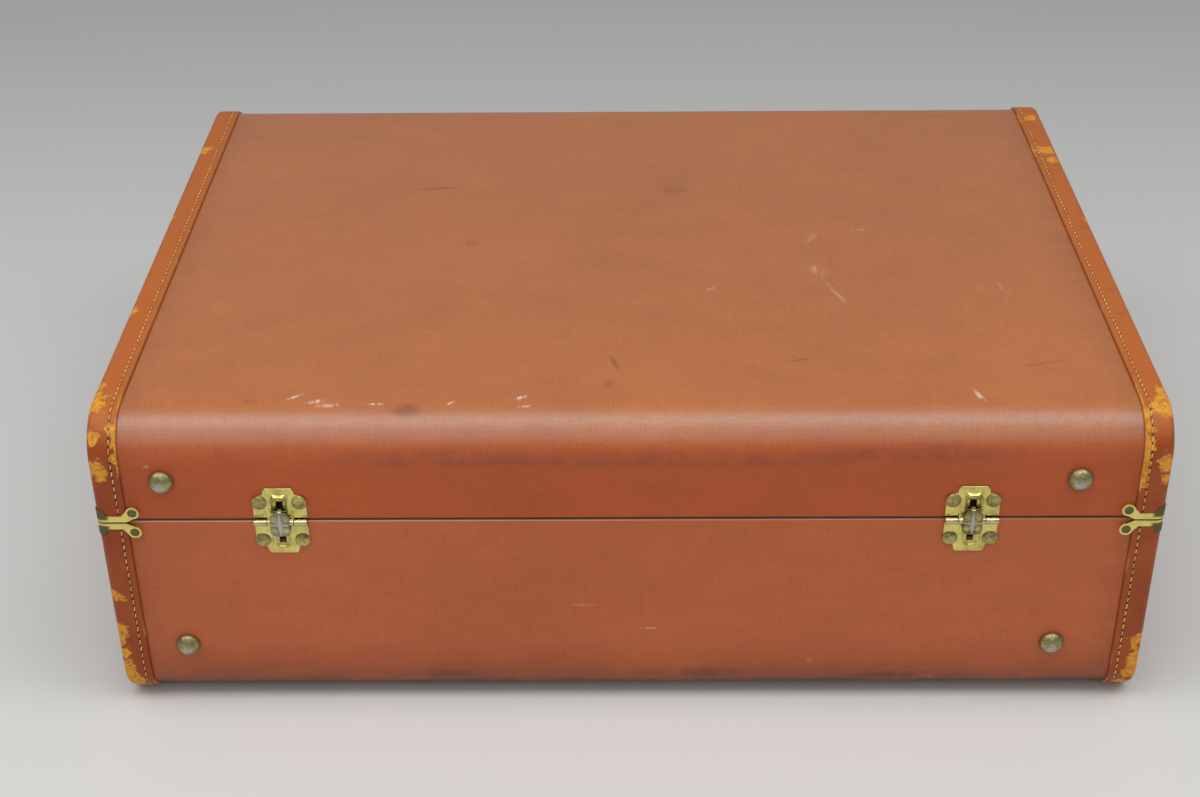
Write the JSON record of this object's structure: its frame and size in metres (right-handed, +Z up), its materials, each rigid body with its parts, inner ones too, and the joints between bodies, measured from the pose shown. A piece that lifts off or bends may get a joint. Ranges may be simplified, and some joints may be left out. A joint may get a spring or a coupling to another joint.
{
  "type": "hard-shell suitcase",
  "caption": "Hard-shell suitcase of covered plywood with leather-bound ends, a hinged lid, hasp latches and a carrying handle.",
  "frame": {"origin": "on the resting plane under the middle of the closed case, which lies on the face of its deeper half", "axes": "+X along the case's length, +Z up through base and lid, hinges on the -Y side, handle and latches on +Y"},
  "size_m": [0.6116, 0.4684, 0.2],
  "materials": {
    "coated_cloth": "satin, fine linen grain",
    "binding_leather": "satin, worn to raw hide at corners",
    "plywood": "plain",
    "rim_board": "cloth-covered board",
    "lining_fabric": "woven twill",
    "brass": "polished, tarnished in the hollows",
    "aged_brass": "tarnished",
    "worn_plating": "plating worn to grey",
    "steel": "plain",
    "handle_leather": "stitched, satin",
    "webbing": "woven strap"
  },
  "bodies": {
    "base": {"base_shell": "plywood", "base_cover": "coated_cloth", "base_end_left": "plywood", "base_end_right": "plywood", "base_end_covers": "coated_cloth", "base_lining": "lining_fabric", "base_binding_left": "binding_leather", "base_binding_right": "binding_leather", "base_rim": "rim_board", "base_feet": "aged_brass", "base_hinge_rivets": "aged_brass", "base_corner_clips": "brass", "base_clip_rivets": "brass", "hinge_left_base_leaf": "brass", "hinge_right_base_leaf": "brass", "latch_left_lock_case": "brass", "latch_right_lock_case": "brass", "lock_case_rivets": "brass", "handle_bracket_left": "brass", "handle_bracket_right": "brass", "handle_bracket_rivets": "brass", "strap_left": "webbing", "strap_right": "webbing", "strap_buckle": "brass", "strap_anchors": "brass"},
    "lid": {"lid_shell": "plywood", "lid_cover": "coated_cloth", "lid_end_left": "plywood", "lid_end_right": "plywood", "lid_end_covers": "coated_cloth", "lid_lining": "lining_fabric", "lid_binding_left": "binding_leather", "lid_binding_right": "binding_leather", "lid_pocket": "lining_fabric", "lid_feet": "aged_brass", "lid_hinge_rivets": "aged_brass", "lid_corner_clips": "brass", "lid_clip_rivets": "brass", "hinge_left_lid_leaf": "brass", "hinge_right_lid_leaf": "brass", "latch_left_hasp_plate": "brass", "latch_right_hasp_plate": "brass", "latch_left_hasp_pin": "steel", "latch_right_hasp_pin": "steel", "hasp_plate_rivets": "brass"},
    "hinge_pins": {"hinge_left_pin": "steel", "hinge_right_pin": "steel"},
    "hinge_stays": {"hinge_left_stay": "worn_plating", "hinge_right_stay": "worn_plating"},
    "handle": {"handle_core": "steel", "handle_grip": "handle_leather", "handle_ferrules": "brass"},
    "hasp_left": {"latch_left_hasp": "brass"},
    "hasp_right": {"latch_right_hasp": "brass"},
    "slide_left": {"latch_left_slide": "brass"},
    "slide_right": {"latch_right_slide": "brass"}
  },
  "joints": [
    {"name": "lid_hinge", "type": "hinge", "parent": "base", "child": "lid", "pos_m": [0, -0.228, 0.1334], "axis": [1, 0, 0], "range_deg": [0, 95]},
    {"name": "hinge_pins_turn", "type": "hinge", "parent": "base", "child": "hinge_pins", "pos_m": [0, -0.228, 0.1334], "axis": [1, 0, 0], "range_deg": [0, 47.6]},
    {"name": "hinge_stays_float", "type": "slide", "parent": "hinge_pins", "child": "hinge_stays", "axis": [0, -1, 0], "range_m": [0, 0.0051]},
    {"name": "handle_swing", "type": "hinge", "parent": "base", "child": "handle", "pos_m": [0, 0.2316, 0.118], "axis": [1, 0, 0], "range_deg": [0, 170]},
    {"name": "hasp_left_turn", "type": "hinge", "parent": "lid", "child": "hasp_left", "pos_m": [-0.185, 0.2306, 0.14], "axis": [1, 0, 0], "range_deg": [0, 100]},
    {"name": "hasp_right_turn", "type": "hinge", "parent": "lid", "child": "hasp_right", "pos_m": [0.185, 0.2306, 0.14], "axis": [1, 0, 0], "range_deg": [0, 100]},
    {"name": "slide_left_travel", "type": "slide", "parent": "base", "child": "slide_left", "axis": [1, 0, 0], "range_m": [0, 0.0062]},
    {"name": "slide_right_travel", "type": "slide", "parent": "base", "child": "slide_right", "axis": [-1, 0, 0], "range_m": [0, 0.0062]}
  ],
  "couplings": [
    {"joint": "hinge_pins_turn", "follows": "lid_hinge", "ratio": 0.5},
    {"joint": "hinge_stays_float", "follows": "lid_hinge", "m_per_rad": 0.0030156}
  ]
}
